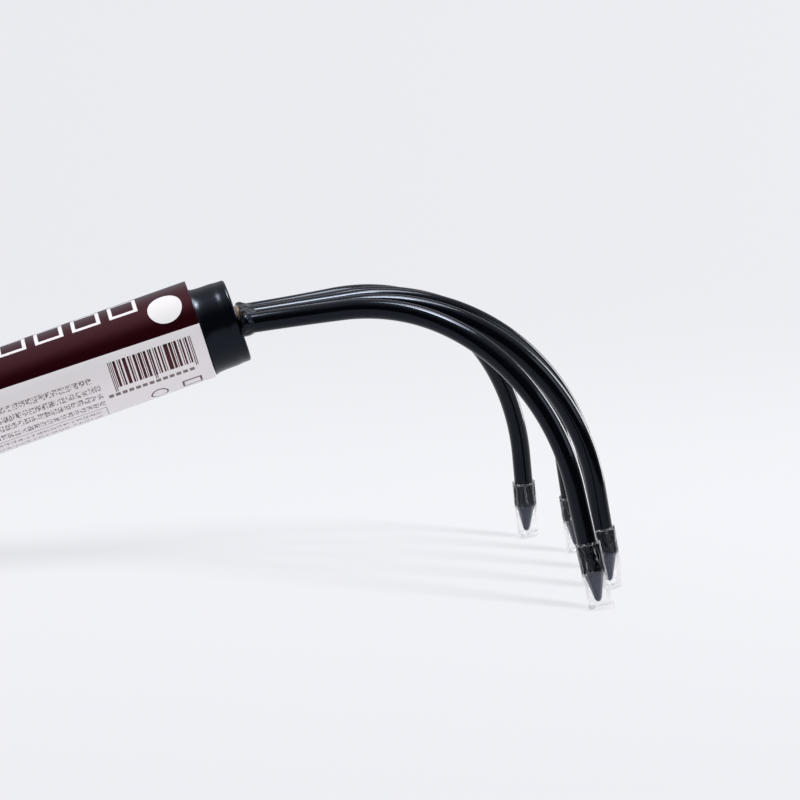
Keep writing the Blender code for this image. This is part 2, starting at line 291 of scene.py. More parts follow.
# %% World
GROUND_WHITE = (0.84, 0.843, 0.883)     # how the ground looks far off
SKY_STOPS = [
    (0.0, (0.0, 0.0, 0.0)),             # level, on the side of the viewer
    (0.27, (0.01, 0.01, 0.011)),
    (0.42, (0.59, 0.605, 0.66)),        # nearly overhead
    (0.8, (0.52, 0.535, 0.59)),
    (0.94, (0.32, 0.335, 0.39)),
    (1.0, (0.41, 0.425, 0.48)),         # level, on the far side
]


def make_world():
    """Colour by the angle from the viewer's horizon over the top to the far horizon, in half turns."""
    world = bpy.data.worlds.new("studio")
    bpy.context.scene.world = world
    room = Wiring(world)
    toward = room.add("ShaderNodeSeparateXYZ", None, room.add("ShaderNodeTexCoord"))
    angle = toward.output("Z").math("ARCTAN2", toward.output("Y") * -1.0) / math.pi
    sky = room.add("ShaderNodeValToRGB", {"stops": SKY_STOPS}, angle)
    seen_by_camera = room.add("ShaderNodeLightPath")
    background = room.tree.nodes["Background"]
    room.feed(background.inputs["Color"], room.mix(seen_by_camera, sky, GROUND_WHITE))
    room.feed(background.inputs["Strength"], 1.0)
    return world


print("world:", make_world().name)
bpy.context.scene.view_settings.view_transform = "Standard"

# %% [markdown]
# ## Lamps
# A wide soft lamp hangs overhead and a smaller one stands on the right. A fill on the side of the
# viewer lifts the matt paper and wood, and is hidden from reflections, where it would show as a
# pale square. Two more light the enamel alone: one draws a bright edge along its far right side,
# and one puts a hard glint on top. A sun lights the ground alone, so the shadow's direction can be
# set apart from the gloss. One lamp could do all of it, but then no part could be set by itself.

# %% Lamps
LAMP_TARGET = (0.05, 0, 0.06)           # metres: a spot between the bars


def soft_lamp(name, direction, distance, width, depth, radiance):
    """An oblong lamp at a distance from its target, which it faces.

    A lamp of power P and area A that shines evenly has the radiance P / (pi A).
    """
    lamp = bpy.data.objects.new(name, bpy.data.lights.new(name, "AREA"))
    bpy.context.scene.collection.objects.link(lamp)
    direction = Vector(direction).normalized()
    lamp.location = Vector(LAMP_TARGET) + direction * distance
    lamp.rotation_euler = direction.to_track_quat("Z", "Y").to_euler()
    lamp.data.shape = "RECTANGLE"
    lamp.data.size = width
    lamp.data.size_y = depth
    lamp.data.energy = radiance * math.pi * width * depth
    return lamp


def sun_lamp(name, direction, strength, degrees_wide):
    """A distant lamp in this direction. The wider it is, the softer its shadow's edge."""
    lamp = bpy.data.objects.new(name, bpy.data.lights.new(name, "SUN"))
    bpy.context.scene.collection.objects.link(lamp)
    lamp.rotation_euler = Vector(direction).to_track_quat("Z", "Y").to_euler()
    lamp.data.energy = strength
    lamp.data.angle = math.radians(degrees_wide)
    return lamp


def light_only(lamp, *lit, leave_out=()):
    """Link a lamp to some objects: it lights those alone, or all but those left out."""
    group = bpy.data.collections.new(lamp.name + "_reach")
    for piece in lit or leave_out:
        group.objects.link(piece)
    for entry in group.collection_objects:
        entry.light_linking.link_state = "INCLUDE" if lit else "EXCLUDE"
    lamp.light_linking.receiver_collection = group


overhead_lamp = soft_lamp("overhead_lamp", (0.1, 0.12, 1.0), 1.5, width=0.6, depth=0.7, radiance=14.0)
right_lamp = soft_lamp("right_lamp", (0.77, -0.38, 0.5), 0.9, width=0.4, depth=0.4, radiance=2.6)
edge_lamp = soft_lamp("edge_lamp", (0.82, 0.5, 0.2), 0.9, width=0.35, depth=0.55, radiance=9.0)
front_fill = soft_lamp("front_fill", (-0.15, -1.0, 0.25), 1.5, width=0.8, depth=0.8, radiance=2.8)
front_fill.visible_glossy = front_fill.visible_transmission = False
glint_lamp = soft_lamp("glint_lamp", (0.0, -0.04, 1.0), 1.5, width=0.32, depth=0.3, radiance=42.0)
ground_lamp = sun_lamp("ground_lamp", (0.8, -0.6, 1.0), strength=5.4, degrees_wide=17)

# %% [markdown]
# ## Surfaces from grids
# Every piece below is a grid of points, worked out as whole arrays: rows run along the piece and
# columns run round it. Blender's screw and curve tools could make the same shapes. A grid keeps the
# formula in plain sight, and its rows and columns give each point its place on the finish's map.

# %% Faces of a grid
def grid_faces(rows, cols, around, chart):
    """Four-sided faces between neighbouring rows and columns, and the map at each of their corners."""
    row, col = np.meshgrid(np.arange(rows - 1), np.arange(cols if around else cols - 1), indexing="ij")
    row, col = row.ravel(), col.ravel()
    ahead = (col + 1) % cols
    corners = [row * cols + col, row * cols + ahead, (row + 1) * cols + ahead, (row + 1) * cols + col]
    along, turn = chart
    spots = [
        np.stack([along[row], along[row], along[row + 1], along[row + 1]], 1),
        np.stack([turn[col], turn[col + 1], turn[col + 1], turn[col]], 1),
    ]
    return np.stack(corners, 1), np.stack(spots, 2).reshape(-1, 2)


def end_fans(points, rows, cols, ends, chart):
    """Triangles from the first and the last ring to new points at their middles, with their map."""
    along, turn = chart
    fans, spots = [np.zeros((0, 3), int)], [np.zeros((0, 2))]
    for wanted, row, outward in ((ends[0], 0, -1), (ends[1], rows - 1, 1)):
        if not wanted:
            continue
        ring = row * cols + np.arange(cols)
        following = row * cols + (np.arange(cols) + 1) % cols
        middle = np.full(cols, len(points))
        points = np.vstack([points, points[ring].mean(0)])
        fans.append(np.stack([ring, following, middle][::outward], 1))
        spots.append(np.repeat(np.stack([np.full(cols, along[row]), turn[:-1]], 1), 3, 0))
    return points, np.vstack(fans), np.vstack(spots)


small_band = grid_faces(2, 3, True, (np.arange(2), np.arange(4)))
print("a band of 2 rows and 3 columns has", len(small_band[0]), "faces")

# %% Meshes from grids
def faces_outwards(points, quads, triangles):
    """True where the sum of a . (b x c) over all triangles, six times the volume, isn't negative."""
    halves = np.vstack([triangles, quads[:, [0, 1, 2]], quads[:, [0, 2, 3]]])
    a, b, c = (points[halves[:, i]] for i in range(3))
    return (a * np.cross(b, c)).sum() >= 0


def mesh_of(name, points, quads, triangles, spots):
    """A mesh from its points and faces, with a map that a finish can follow."""
    corners = np.concatenate([quads.ravel(), triangles.ravel()])
    sizes = np.repeat([4, 3], [len(quads), len(triangles)])
    mesh = bpy.data.meshes.new(name)
    mesh.vertices.add(len(points))
    mesh.vertices.foreach_set("co", points.astype(np.float32).ravel())
    mesh.loops.add(len(corners))
    mesh.loops.foreach_set("vertex_index", corners.astype(np.int32))
    mesh.polygons.add(len(sizes))
    mesh.polygons.foreach_set("loop_start", (np.cumsum(sizes) - sizes).astype(np.int32))
    mesh.update(calc_edges=True)
    mesh.uv_layers.new(name="map").data.foreach_set("uv", spots.astype(np.float32).ravel())
    return mesh


def surface(name, grid, material, around=True, ends=(True, True), chart=None):
    """A piece from a grid of points, rows along and columns around, turned to face outwards.

    With around, the last column joins the first. With ends, the first and the last row are closed
    by a fan. chart = (along, round) are the map's coordinates, one per row and per column's edge.
    """
    rows, cols = grid.shape[:2]
    chart = chart or (np.linspace(0, 1, rows), np.linspace(0, 1, cols + 1))
    quads, spots = grid_faces(rows, cols, around, chart)
    points, triangles, fan_spots = end_fans(grid.reshape(-1, 3), rows, cols, ends, chart)
    mesh = mesh_of(name, points, quads, triangles, np.vstack([spots, fan_spots]))
    if not faces_outwards(points, quads, triangles):
        mesh.flip_normals()
    mesh.validate()
    mesh.shade_smooth()
    mesh.materials.append(material)
    piece = bpy.data.objects.new(name, mesh)
    bpy.context.scene.collection.objects.link(piece)
    return piece


def keep_edges(piece, degrees=38):
    """Shade smoothly, apart from edges that turn more than this."""
    piece.data.set_sharp_from_angle(angle=math.radians(degrees))
    return piece


print("surface() closes its ends and faces outwards by itself")

# %% [markdown]
# ## Ground
# The ground is one wide pale sheet with no seam. It could be a sweep that curves up at the back,
# but the view only ever meets the flat part, so a flat grid is enough. To the eye, in gloss and
# through clear film it glows by itself, and a fifth of its brightness comes from its own lamp, so
# the tool's shadow shows on it. Painted light makes it a little brighter along a strip by the tool,
# as a pool of light, and brighter to the right.

# %% Ground sheet
GROUND_COLOUR = (0.5, 0.502, 0.52)      # its paper, by itself
GROUND_GLOW = 0.8                       # share of its brightness that needs no lamp
GROUND_EDGE = 30.0                      # metres from the middle to an edge
# painted light: a pool of light along a strip by the tool
LIGHT_POOL_Y, LIGHT_POOL_WIDTH, LIGHT_POOL_GAIN = 0.08, 0.34, 0.09
# painted light: the ground grows brighter to the right, fanning out from a spot
FAN_X, FAN_Y, SIDE_LIGHT_LEVEL, SIDE_LIGHT_GAIN = -0.016, -0.846, 0.1, 0.1


def make_ground():
    """A flat sheet. Its glow is GROUND_WHITE times 1 + strip + fan.

    The strip is a painted pool of light, LIGHT_POOL_GAIN e^(-r r), with r the distance from its middle
    over its width. The fan is painted light that grows to the right, SIDE_LIGHT_GAIN times
    (slope - SIDE_LIGHT_LEVEL), with slope the rise of x over y from the spot (FAN_X, FAN_Y).
    """
    sheet = Finish("ground_paper")
    sheet.set(Base_Color=(*GROUND_COLOUR, 1.0), Roughness=1.0, Specular_IOR_Level=0.0)
    x, y = sheet.split(sheet.place())
    from_strip = (y - LIGHT_POOL_Y) / LIGHT_POOL_WIDTH
    # painted pool of light along the strip, and painted light brightening to the right
    strip = (from_strip * from_strip * -1.0).math("EXPONENT") * LIGHT_POOL_GAIN
    slope_of_fan = (x - FAN_X) / (y.math("ABSOLUTE") - FAN_Y)
    strength = strip + (slope_of_fan - SIDE_LIGHT_LEVEL) * SIDE_LIGHT_GAIN + 1.0
    shade = sheet.add("ShaderNodeVectorMath", {"operation": "SCALE"}, GROUND_WHITE, Scale=strength)
    glow = sheet.add("ShaderNodeEmission", None, shade, 1.0)
    ray = sheet.add("ShaderNodeLightPath")
    seen = greatest(ray, ray.output("Is Glossy Ray"), ray.output("Is Transmission Ray"))
    lit = Number(sheet, sheet.shader.outputs[0])
    shown = sheet.add("ShaderNodeMixShader", None, seen * GROUND_GLOW, lit, glow)
    sheet.feed(sheet.tree.nodes["Material Output"].inputs["Surface"], shown)
    edge = np.linspace(-GROUND_EDGE, GROUND_EDGE, 5)
    x, y = np.meshgrid(edge, edge, indexing="ij")
    grid = np.stack([x, y, x * 0], 2)
    ground = surface("ground", grid, sheet.owner, around=False, ends=(False, False))
    ground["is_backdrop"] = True
    return ground


ground = make_ground()
light_only(ground_lamp, ground)
for lamp in (overhead_lamp, right_lamp, front_fill):
    light_only(lamp, leave_out=[ground])
print("ground is", [round(c, 1) for c in ground.dimensions], "m")

# %% [markdown]
# ## Sizes
# The sizes here and below are the ones the CAD model was made from, in millimetres. Repeating them
# lets the finer surfaces follow the same lines exactly. The place of the tool comes from the model
# itself: the ferrule's lowest and rearmost corner gives the centre of its face, where every bar
# starts.

# %% Sizes and the tool's own directions
PITCH = math.radians(18.847)     # the handle's slope
FERRULE_RADIUS = 12.7
FERRULE_LENGTH = 11.3
FLARE = 0.7                      # how far the ferrule's rear edge is spread
SHOULDER = 11.6                  # label and full wood start here, behind the ferrule's face
HANDLE_LENGTH = 207.0
HANDLE_RADIUS = 14.2
HANDLE_RISE = 1.1                # of the wood's axis over the axis of the ferrule
LABEL_LENGTH = 115.0
LABEL_RADIUS = 14.8

FORWARD = np.array([math.cos(PITCH), 0, math.sin(PITCH)])
UPWARD = np.array([-math.sin(PITCH), 0, math.cos(PITCH)])
NEAR = np.array([0, -1.0, 0])
rear_edge = FORWARD * FERRULE_LENGTH + UPWARD * np.array([-1, 0, 1]) * (FERRULE_RADIUS + FLARE)
lowest = np.array(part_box("ferrule")[0]) / MM
ROOT = np.array([lowest[0], 0, lowest[2]]) + rear_edge
print("ferrule's face is centred at", ROOT.round(2), "mm")

# %% [markdown]
# ## Black enamel
# Ferrule, weld and bars are dipped in black enamel, so one coat runs over all of them. The colour
# is nearly black with a trace of blue, and the gloss does the rest. A clear coat over a dull black
# would give two highlights. One smooth surface with a faint orange peel in its bump gives the single
# sharp one that dipped enamel has. The weld's coat is thicker, and rolls in larger waves.

# %% Enamel on the ferrule and the weld
BLACK = (0.0012, 0.0016, 0.0028)
GLOSS = {"IOR": 1.314, "Specular_Tint": (0.67, 0.78, 1.0, 1.0)}


def gloss_black(name="black_enamel", roughness=0.22, scale=700, depth=0.00001):
    """Dipped enamel: nearly black and smooth, with a faint orange peel of this depth in metres."""
    finish = Finish(name)
    finish.set(Base_Color=(*BLACK, 1.0), Roughness=roughness, **GLOSS)
    return finish.relief(finish.noise(scale, detail=2.0), depth)


enamel = gloss_black()
weld_enamel = gloss_black("weld_enamel", 0.1, 480, 0.0007)
print("enamels:", enamel.owner.name, weld_enamel.owner.name)

# %% [markdown]
# ## Enamel and ground steel
# The points of the bars are ground to a taper after the dip, so grey steel shows there. Two
# materials could meet at an edge loop, but a real grinding line is ragged. Here the map's first
# number, the distance from the tip, decides, with scallops and noise added to it.

# %% Enamel on the bars
GROUND_OFF = 0.0086              # metres of a bar's end that are ground bare
SCALLOPS = 14                    # waves of the grinding line round the bar


def bar_enamel():
    """The same enamel on a bar, ground off down to grey steel over the taper."""
    finish = Finish("bar_enamel")
    from_tip, turn = finish.uv()
    scallop = (turn * (SCALLOPS * 2 * math.pi)).math("SINE") * 0.00022
    ragged = (finish.noise(900, detail=3.0) - 0.5) * 0.0007
    bare = finish.beyond(scallop + ragged + GROUND_OFF, from_tip, 0.00012)
    grit = finish.noise(5200, detail=4.0, roughness=0.7)
    streak = finish.noise(1500, detail=3.0)
    steel = finish.mix(grit * 0.6 + streak * 0.4, (0.035, 0.038, 0.049), (0.14, 0.146, 0.178))
    finish.set(Base_Color=finish.mix(bare, BLACK, steel), Roughness=bare * 0.5 + 0.12, **GLOSS)
    peel = finish.noise(700, detail=2.0) * 0.2
    return finish.relief(peel + grit * bare, 0.00005)


tine_enamel = bar_enamel()
print("bars are ground bare over", round(GROUND_OFF / MM, 1), "mm")

# %% [markdown]
# ## Turned wood
# The handle is pale hardwood with its grain along the tool. A wood picture wrapped round it would
# show a seam. Growth rings are cylinders round a pith, so the distance from a line beside the handle
# gives them, and cutting through them gives the long grain on the sides and rings on the butt.

# %% Wood
def turned_wood():
    """Pale hardwood: rings round an off-centre pith, seen as long grain, with short dark pores.

    The rings are a sine of the distance from the pith, brought to 0 to 1 and squared. Lengthwise
    they are drawn out twenty times, and the pores eight times.
    """
    finish = Finish("turned_wood")
    settings = {"vector_type": "POINT"}
    here = finish.add("ShaderNodeMapping", settings, finish.place(), Rotation=(0, PITCH, 0))
    long_grain = finish.add("ShaderNodeMapping", settings, here, Scale=(0.05, 1, 1))
    waves = finish.noise(60, detail=3.0, where=long_grain)
    shift = finish.add("ShaderNodeMapping", settings, long_grain, Location=(0, 0.03, -0.05))
    off_pith = finish.add("ShaderNodeVectorMath", {"operation": "LENGTH"}, shift, out=1)
    rings = ((off_pith * 420 + waves * 1.6).math("SINE") + 1) * 0.5
    fibre = finish.noise(900, detail=4.0, roughness=0.65, where=long_grain)
    tone = finish.mix(rings * rings * 0.55 + fibre * 0.5, (0.67, 0.47, 0.27), (0.42, 0.25, 0.12))
    short = finish.add("ShaderNodeMapping", settings, here, Scale=(0.12, 1, 1))
    pores = (finish.noise(2300, detail=2.0, where=short) - 0.62).math("MULTIPLY", 9.0, clamp=True)
    colour = finish.mix(pores * 0.55, tone, (0.2, 0.11, 0.05))
    finish.set(Base_Color=colour, Roughness=fibre * 0.2 + 0.42, Coat_Weight=0.25, Coat_Roughness=0.3)
    return finish.relief(fibre * 0.5 - pores, 0.00004)


wood = turned_wood()
print("wood has", len(wood.tree.nodes), "nodes")

# %% [markdown]
# ## Printed paper
# A sleeve of coated paper is rolled round the handle, dark red above and white below, with signs,
# stripes and small notes. The print could be a picture, but then a close view would show its
# grain of dots. Each printed shape is a mask instead, worked out from two lengths on the paper, and
# stays sharp at any size. The shapes stand in for words: plain squares, stripes that code nothing
# and specks that read as small notes from afar.

# %% Shapes on the paper
PRINT_EDGE = 0.12                # mm over which a printed edge fades
PRINT_SKEW = 0.0758              # degrees that the print creeps round per mm: the paper is rolled askew
MM_PER_DEGREE = math.radians(1) * LABEL_RADIUS


class PrintedSheet:
    """Where a point lies on the rolled paper, and masks for shapes printed there.

    along is the distance in mm behind the ferrule's face. arc is the distance in mm round the
    handle, 0 at the top and growing towards the viewer. Shapes are given by mm along and degrees
    round. The map's first number is negative on the inner side of the paper.
    """

    def __init__(self, finish):
        self.finish = finish
        map_along, map_turn = finish.uv()
        self.inner_side = map_along < 0.0
        self.along = map_along * 1000
        angle = (map_turn + 0.375).math("FRACT") * 360 - 135
        self.arc = (angle + (self.along - SHOULDER) * PRINT_SKEW) * MM_PER_DEGREE

    def band(self, top, bottom):
        """1 from top to bottom degrees round, over the whole length."""
        return self.finish.between(self.arc, top * MM_PER_DEGREE, bottom * MM_PER_DEGREE, PRINT_EDGE)

    def patch(self, first, last, top, bottom):
        """1 from first to last along and from top to bottom degrees round."""
        return self.finish.between(self.along, first, last, PRINT_EDGE) * self.band(top, bottom)

    def outline(self, first, last, top, bottom, line):
        """The outline of a patch, line mm wide."""
        step = line / MM_PER_DEGREE
        inside = self.patch(first + line, last - line, top + step, bottom - step)
        return self.patch(first, last, top, bottom) - inside

    def disc(self, middle, round_at, radius):
        """1 within the radius of a spot."""
        across = self.arc - round_at * MM_PER_DEGREE
        reach = ((self.along - middle) * (self.along - middle) + across * across).math("SQRT")
        return self.finish.beyond(radius, reach, PRINT_EDGE)

    def dashes(self, step, share):
        """1 over this share of every step along."""
        return (self.along / step).math("FRACT") < share


print("a degree round is", round(MM_PER_DEGREE, 3), "mm of paper")

# %% Signs, stripes and notes
MODULE = 0.264                   # mm, the width of one unit of the stripes
GUARD_STARTS = (14.9, 27.1, 39.3)       # mm along
TEXT_ROWS = ((98.5, 45.9), (110.0, 43.9), (120.5, 43.9), (132.4, 43.9))   # degrees round, mm along
BOX_ROWS = (147, 158, 169, 180)  # degrees round


def white_signs(sheet):
    """A disc and eight square outlines in a row."""
    starts = [26.9 + 11.3 * index for index in range(8)]
    squares = [sheet.outline(start, start + 8.6, 2.5, 35.2, 1.1) for start in starts]
    return greatest(sheet.disc(19.3, 44.4, 5.1), *squares)


def stripe_block(sheet):
    """Stripes that code nothing: dark where the sine of a wavering count of modules is high.

    Longer double lines stand at both ends and in the middle, and a row of dashes lies below.
    """
    module = (sheet.along / MODULE).math("FLOOR")
    phase = module * 1.98 + (module * 0.9).math("SINE") * 1.4
    stripes = (phase.math("SINE") > -0.35) * sheet.patch(15.8, 39.1, 85.4, 116.9)
    starts = [start + step for start in GUARD_STARTS for step in (0.0, 0.5)]
    guards = [sheet.patch(start, start + 0.26, 85.4, 121.8) for start in starts]
    dashes = sheet.dashes(2.05, 0.72) * sheet.patch(15.8, 42.5, 123.3, 127.7) * 0.8
    return greatest(stripes, *guards, dashes)


def two_marks(sheet):
    """A plain ring and a plain square."""
    ring = sheet.disc(28.2, 150.7, 2.7) - sheet.disc(28.2, 150.7, 2.2)
    return greatest(ring, sheet.outline(15.1, 21.1, 141.3, 157.2, 0.6))


def small_notes(sheet):
    """Rows of specks, one at random in each cell of 0.3 mm, and a thin box round the lower rows."""
    spot = sheet.finish.add("ShaderNodeCombineXYZ", None, sheet.along, sheet.arc, 0.0)
    cell = sheet.finish.add("ShaderNodeVectorMath", {"operation": "SNAP"}, spot, (0.3, 0.3, 1.0))
    speck = sheet.finish.add("ShaderNodeTexWhiteNoise", {"noise_dimensions": "2D"}, cell)
    words = (speck > 0.52) * sheet.dashes(2.0, 0.86)
    rows = [words * sheet.patch(start, 120, at - 3.6, at + 3.6) * 0.75 for at, start in TEXT_ROWS]
    box_rows = [words * sheet.patch(45.7, 119, at - 2.8, at + 2.8) * 0.7 for at in BOX_ROWS]
    return greatest(*rows, *box_rows, sheet.outline(44.1, 121, 139.6, 200, 0.25) * 0.7)


print("stripes are", MODULE, "mm wide; notes have", len(TEXT_ROWS) + len(BOX_ROWS), "rows")

# %% Paper
MAROON = (0.016, 0.0012, 0.003)
PAPER_WHITE = (0.86, 0.855, 0.865)
SIGN_WHITE = (0.9, 0.895, 0.9)
INK = (0.006, 0.003, 0.004)
BARE_PAPER = (0.8, 0.74, 0.74)
RED_BAND = (-100, 75.5)          # degrees round


def printed_paper():
    """Coated paper: a dark red band over white, then signs, then ink, with a plain inner side."""
    finish = Finish("printed_paper")
    sheet = PrintedSheet(finish)
    colour = finish.mix(sheet.band(*RED_BAND), PAPER_WHITE, MAROON)
    colour = finish.mix(white_signs(sheet), colour, SIGN_WHITE)
    inked = greatest(stripe_block(sheet), two_marks(sheet), small_notes(sheet))
    colour = finish.mix(inked, colour, INK)
    colour = finish.mix(sheet.inner_side, colour, BARE_PAPER)
    fibre = finish.noise(1500, detail=3.0)
    roughness = fibre * 0.06 + 0.19
    finish.set(Base_Color=colour, Roughness=roughness, IOR=1.65, Specular_Tint=(1.0, 0.33, 0.41, 1.0))
    return finish.relief(fibre, 0.00001)


paper = printed_paper()
print("paper has", len(paper.tree.nodes), "nodes")

# %% [markdown]
# ## Filler
# The bore round the tang is stopped with a tan filler, which stands out in front of the ferrule as
# a small bead. Smeared filler is dull and uneven. A flat tan with a bump would stay one colour, so
# the same coarse noise drives both the colour and the bump: uneven tone, and painted shade that
# makes the hollows darker.

# %% Filler
def hard_filler():
    """Dull tan filler, smeared by hand, with fine grains, uneven in tone and with painted shade in its
    hollows.
    """
    finish = Finish("tan_filler")
    lumps = finish.noise(500, detail=4.0)
    grains = finish.noise(3000, detail=3.0)
    # uneven tone, and painted shade: the low parts of the lumps are darker
    colour = finish.mix(lumps, (0.1, 0.066, 0.042), (0.4, 0.31, 0.22))
    finish.set(Base_Color=finish.mix(grains * 0.5, colour, (0.3, 0.22, 0.15)), Roughness=0.75)
    return finish.relief(lumps, 0.0003)


filler = hard_filler()
print("filler has", len(filler.tree.nodes), "nodes")

# %% [markdown]
# ## Clear soft plastic
# Each point wears a clear tube, pushed on and sealed flat at its foot. Where it grips the bar it is
# thick and wet-looking, and below it is a thin bag. Bending light twice through a thin bag would
# make a heavy lens of it, so there the alpha lets the eye straight through and keeps only a glow at
# the rim and along the seal. The grip has creases that run down it, and bends light as it should.

# %% Plastic
CREASES = 13                     # round a cap
FILM_START = 0.0078              # metres below the rim, where the bag starts
SEAL_START = 0.017


def soft_clear():
    """Clear soft plastic. The grip shows the bar through its full thickness; the bag is a thin film.

    The creases are a sine round the cap, with noise added to its angle, and fade out over the bag.
    """
    finish = Finish("clear_plastic")
    depth, turn = finish.uv()
    film = finish.beyond(depth, FILM_START, 0.0012)
    seal = finish.beyond(depth, SEAL_START, 0.0003)
    rim_glow = finish.add("ShaderNodeLayerWeight", None, 0.35, out=1)
    finish.set(Base_Color=(0.97, 0.975, 0.98, 1.0), Roughness=0.03, IOR=1.38, Transmission_Weight=1.0)
    finish.set(Specular_Tint=(0.4, 0.42, 0.48, 1.0))
    finish.set(Alpha=1.0 - film * (0.94 - rim_glow * 0.35 - seal * 0.3))
    ripple = finish.noise(260, detail=2.0)
    creases = (turn * (CREASES * 2 * math.pi) + ripple * 9).math("SINE") * (1.0 - film)
    return finish.relief(ripple * 0.5 + creases, 0.00012)


clear_plastic = soft_clear()
print("plastic has", len(clear_plastic.tree.nodes), "nodes")

# %% [markdown]
# ## Turned pieces
# Handle, label, ferrule and filler are all round about the handle's axis, so each is an outline of
# (distance behind the ferrule's face, radius) swept round it. The label's outline and the ferrule's
# close on themselves, since they are hollow, and the doubled ring there is merged.

# %% Turning an outline
COLUMNS = 240
TURN = np.linspace(0, 2 * math.pi, COLUMNS, endpoint=False)
TURN_MAP = np.linspace(0, 1, COLUMNS + 1)
TILT_LEVEL = math.radians(85)    # where a tilted end isn't moved; further on it lies further back


def around_axis(behind, radius, angle, rise=0.0):
    """Points round the handle's axis; the angle starts at the top and grows towards the viewer."""
    behind, radius, angle = np.broadcast_arrays(behind, radius, angle)
    out = UPWARD * np.cos(angle)[..., None] + NEAR * np.sin(angle)[..., None]
    return (ROOT + UPWARD * rise - FORWARD * behind[..., None] + out * radius[..., None]) * MM


def merge_rings(piece):
    """Join the first and the last ring of a looped outline."""
    shell = bmesh.new()
    shell.from_mesh(piece.data)
    bmesh.ops.remove_doubles(shell, verts=shell.verts, dist=1e-7)
    shell.to_mesh(piece.data)
    shell.free()


def turned(name, outline, material, loop=False, along=None, rise=0.0, tilt=0.0):
    """A turned piece from an outline of (behind the face, radius).

    Tilt leans its ends: the lower side lies further back by it, and the upper side further forward.
    """
    behind = outline[:, 0, None] + tilt * np.sin(TURN[None, :] - TILT_LEVEL)
    grid = around_axis(behind, outline[:, 1, None], TURN[None, :], rise)
    along = outline[:, 0] * MM if along is None else along
    if loop:
        grid = np.vstack([grid, grid[:1]])
        along = np.append(along, along[0])
    piece = surface(name, grid, material.owner, ends=(not loop, not loop), chart=(along, TURN_MAP))
    if loop:
        merge_rings(piece)
    return keep_edges(piece)


print("turned pieces have", COLUMNS, "columns")

# %% Rounding the corners of an outline
def rounded(corners, steps=8):
    """An outline through corners (x, y, fillet radius), with an arc at each rounded corner.

    The arc's centre lies on the line that halves the corner, at radius / sin(half the angle), and
    it touches the sides at radius / tan(half the angle).
    """
    outline = []
    for index, (x, y, fillet) in enumerate(corners):
        here = np.array([x, y], float)
        if fillet == 0:
            outline.append(here)
            continue
        before = np.array(corners[index - 1][:2], float) - here
        after = np.array(corners[(index + 1) % len(corners)][:2], float) - here
        before, after = before / np.linalg.norm(before), after / np.linalg.norm(after)
        half = math.acos(np.clip(before @ after, -1, 1)) / 2
        middle = (before + after) / np.linalg.norm(before + after)
        centre = here + middle * fillet / math.sin(half)
        first = here + before * fillet / math.tan(half) - centre
        last = here + after * fillet / math.tan(half) - centre
        for part in np.linspace(0, 1, steps):
            arm = first * (1 - part) + last * part
            outline.append(centre + arm / np.linalg.norm(arm) * fillet)
    return np.array(outline)


small_square = rounded([(0, 0, 0), (2, 0, 1), (2, 2, 0), (0, 2, 0)])
print("a square with one rounded corner has", len(small_square), "points")

# %% [markdown]
# ## Handle
# The handle is turned from one length of hardwood: a thinner spigot that goes into the ferrule, a
# straight body of even thickness, and a rounded edge at the flat butt. A cylinder with a bevel
# would do for the body, but the spigot and its step come from the same outline at no cost.

# %% Handle
SPIGOT_START = 1.7               # behind the ferrule's face
SPIGOT_RADIUS = 10.1
BORE_RADIUS = 4.4                # where the tang goes in
BUTT_ROUND = 6.0                 # radius of the rounded edge


def make_handle():
    """Spigot, straight body, a quarter circle at the butt, and rings that shrink over its flat."""
    spigot = rounded([
        (SPIGOT_START, BORE_RADIUS, 0), (SPIGOT_START, SPIGOT_RADIUS, 0.3), (SHOULDER, SPIGOT_RADIUS, 0),
    ])
    behind = np.linspace(SHOULDER, HANDLE_LENGTH - BUTT_ROUND, 160)
    body = np.stack([behind, np.full(160, HANDLE_RADIUS)], 1)
    flat_radius = HANDLE_RADIUS - BUTT_ROUND
    angle = np.linspace(0, math.pi / 2, 16)[1:]
    centre = np.array([HANDLE_LENGTH - BUTT_ROUND, flat_radius])
    butt = centre + BUTT_ROUND * np.stack([np.sin(angle), np.cos(angle)], 1)
    shrinking = np.linspace(1, 0.05, 10)[1:] * flat_radius
    flat = np.stack([np.full(9, HANDLE_LENGTH), shrinking], 1)
    outline = np.vstack([spigot, body, butt, flat])
    handle = turned("turned_handle", outline, wood, rise=HANDLE_RISE)
    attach(handle, "tool")
    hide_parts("handle")
    return handle


print("handle:", [round(c / MM, 1) for c in make_handle().dimensions], "mm")

# %% [markdown]
# ## Label
# The label is a paper sleeve that slips over the wood. It could be a second material on the handle,
# but real paper ends in an edge that casts a thin line, so it is a hollow tube with a wall of half a
# millimetre. It is rolled slightly askew, and its ends lean by less than half a millimetre.

# %% Label
LABEL_TILT = 0.4
LABEL_GAP = 0.12                 # between the wood and the paper


def make_label():
    """A tube: the inner wall from front to back, then the outer wall from back to front."""
    inner = np.linspace(SHOULDER - LABEL_TILT, SHOULDER + LABEL_LENGTH - 0.5, 120)
    behind = np.concatenate([inner, inner[::-1]])
    radius = np.repeat([HANDLE_RADIUS + LABEL_GAP, LABEL_RADIUS], len(inner))
    along = np.where(np.arange(len(behind)) < len(inner), -1.0, behind * MM)
    outline = np.stack([behind, radius], 1)
    label = turned("paper_label", outline, paper, True, along, HANDLE_RISE, LABEL_TILT)
    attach(label, "tool")
    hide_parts("label_sleeve")
    return label


print("label:", [round(c / MM, 1) for c in make_label().dimensions], "mm")

# %% [markdown]
# ## Ferrule
# The ferrule is a cup of drawn steel that holds the wood together round the tang. Its front edge is
# rounded where the sheet was drawn over a die, the wall behind it swells slightly, and the open
# rear edge is flared. A bevelled cylinder would lose that flow, and with it the way the highlight
# narrows, so the wall's radius is a formula.

